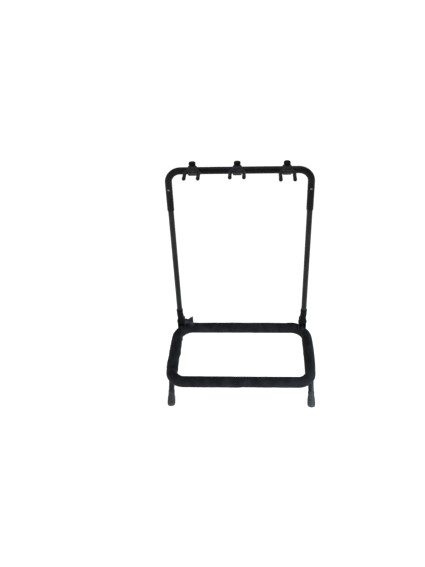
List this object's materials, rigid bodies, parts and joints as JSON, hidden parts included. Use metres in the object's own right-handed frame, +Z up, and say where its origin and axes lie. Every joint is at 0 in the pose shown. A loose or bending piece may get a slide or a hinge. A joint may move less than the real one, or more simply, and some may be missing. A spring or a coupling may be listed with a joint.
{
  "type": "folding multi-guitar rack",
  "caption": "Folding floor rack for guitars: padded ring base on short legs, upright back frame, and neck yokes that slide, tilt and lock on its top bar.",
  "frame": {"origin": "on the floor, in the middle of the four feet", "axes": "+Z up; +X to the right as the player faces the rack; +Y towards the rear bar, which the uprights stand beside, so the prongs point along -Y"},
  "size_m": [0.576, 0.3954, 0.8658],
  "materials": {
    "black_paint": "satin",
    "black_zinc": "satin",
    "bright_zinc": "satin",
    "black_foam": "matte",
    "black_nylon": "satin",
    "dark_rubber": "matte"
  },
  "bodies": {
    "base": {"front_rail": "black_paint", "front_foam": "black_foam", "rear_rail": "black_paint", "rear_foam": "black_foam", "left_rail_plug": "bright_zinc", "left_front_plug_screw": "black_zinc", "left_rear_plug_screw": "black_zinc", "right_rail_plug": "bright_zinc", "right_front_plug_screw": "black_zinc", "right_rear_plug_screw": "black_zinc", "front_left_leg": "black_paint", "front_left_foot": "dark_rubber", "front_right_leg": "black_paint", "front_right_foot": "dark_rubber", "rear_left_leg": "black_paint", "rear_left_foot": "dark_rubber", "rear_right_leg": "black_paint", "rear_right_foot": "dark_rubber", "left_hinge_bracket": "black_paint", "right_hinge_bracket": "black_paint", "left_pivot_bolt": "black_zinc", "left_pivot_washer": "bright_zinc", "right_pivot_rivet": "black_zinc"},
    "back_frame": {"left_upright_shoe": "black_nylon", "left_shoe_screw": "black_zinc", "left_upright": "black_paint", "left_hoop_bush": "black_nylon", "left_hoop_screw": "bright_zinc", "right_upright_shoe": "black_nylon", "right_shoe_screw": "black_zinc", "right_upright": "black_paint", "right_hoop_bush": "black_nylon", "right_hoop_screw": "bright_zinc", "top_hoop": "black_paint"},
    "wing_knob": {"wing_knob": "black_nylon"},
    "left_slider": {"left_yoke_liner": "black_nylon"},
    "left_yoke": {"left_yoke_body": "black_nylon", "left_yoke_rod": "black_zinc", "left_yoke_left_sleeve": "dark_rubber", "left_yoke_right_sleeve": "dark_rubber"},
    "left_lock": {"left_yoke_knob": "black_nylon", "left_yoke_stud": "bright_zinc"},
    "middle_slider": {"middle_yoke_liner": "black_nylon"},
    "middle_yoke": {"middle_yoke_body": "black_nylon", "middle_yoke_rod": "black_zinc", "middle_yoke_left_sleeve": "dark_rubber", "middle_yoke_right_sleeve": "dark_rubber"},
    "middle_lock": {"middle_yoke_knob": "black_nylon", "middle_yoke_stud": "bright_zinc"},
    "right_slider": {"right_yoke_liner": "black_nylon"},
    "right_yoke": {"right_yoke_body": "black_nylon", "right_yoke_rod": "black_zinc", "right_yoke_left_sleeve": "dark_rubber", "right_yoke_right_sleeve": "dark_rubber"},
    "right_lock": {"right_yoke_knob": "black_nylon", "right_yoke_stud": "bright_zinc"}
  },
  "joints": [
    {"name": "frame_fold", "type": "hinge", "parent": "base", "child": "back_frame", "pos_m": [0, 0.138, 0.143], "axis": [1, 0, 0], "range_deg": [0, 93]},
    {"name": "wing_knob_turn", "type": "hinge", "parent": "base", "child": "wing_knob", "pos_m": [-0.25, 0.138, 0.143], "axis": [1, 0, 0], "range_deg": [0, 360]},
    {"name": "left_yoke_slide", "type": "slide", "parent": "back_frame", "child": "left_slider", "axis": [1, 0, 0], "range_m": [-0.026, 0.041]},
    {"name": "left_yoke_tilt", "type": "hinge", "parent": "left_slider", "child": "left_yoke", "pos_m": [-0.1625, 0.138, 0.833], "axis": [1, 0, 0], "range_deg": [-90, 90]},
    {"name": "left_knob_turn", "type": "hinge", "parent": "left_yoke", "child": "left_lock", "pos_m": [-0.1625, 0.138, 0.833], "axis": [0, 0.0872, 0.9962], "range_deg": [0, 360]},
    {"name": "middle_yoke_slide", "type": "slide", "parent": "back_frame", "child": "middle_slider", "axis": [1, 0, 0], "range_m": [-0.045, 0.045]},
    {"name": "middle_yoke_tilt", "type": "hinge", "parent": "middle_slider", "child": "middle_yoke", "pos_m": [-0.007, 0.138, 0.833], "axis": [1, 0, 0], "range_deg": [-90, 90]},
    {"name": "middle_knob_turn", "type": "hinge", "parent": "middle_yoke", "child": "middle_lock", "pos_m": [-0.007, 0.138, 0.833], "axis": [0, 0.1219, 0.9925], "range_deg": [0, 360]},
    {"name": "right_yoke_slide", "type": "slide", "parent": "back_frame", "child": "right_slider", "axis": [1, 0, 0], "range_m": [-0.055, 0.025]},
    {"name": "right_yoke_tilt", "type": "hinge", "parent": "right_slider", "child": "right_yoke", "pos_m": [0.164, 0.138, 0.833], "axis": [1, 0, 0], "range_deg": [-90, 90]},
    {"name": "right_knob_turn", "type": "hinge", "parent": "right_yoke", "child": "right_lock", "pos_m": [0.164, 0.138, 0.833], "axis": [0, 0, 1], "range_deg": [0, 360]}
  ]
}
